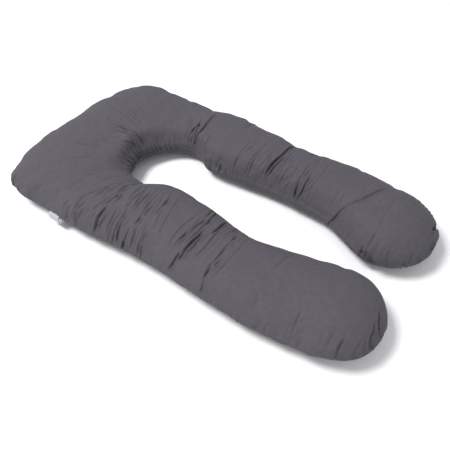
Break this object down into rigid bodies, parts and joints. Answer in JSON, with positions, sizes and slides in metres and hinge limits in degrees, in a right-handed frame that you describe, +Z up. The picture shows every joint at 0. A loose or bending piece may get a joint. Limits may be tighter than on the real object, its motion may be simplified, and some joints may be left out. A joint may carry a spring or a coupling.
{
  "type": "pregnancy pillow",
  "caption": "U-shaped filled body pillow lying flat, with a wide closed head end, soft legs either side of a long gap, and a blank tag in the outer seam.",
  "frame": {"origin": "on the surface under the pillow, at the middle of its bounding box", "axes": "+X from the closed head end to the ends of the legs, +Y from the leg with the tag to the other leg, +Z up"},
  "size_m": [1.462, 0.8103, 0.1519],
  "materials": {
    "cover": "plain brushed polycotton, mid grey",
    "tag": "blank white satin ribbon, folded in two"
  },
  "bodies": {
    "root": {"pillow": "cover", "tag": "tag"}
  },
  "joints": []
}
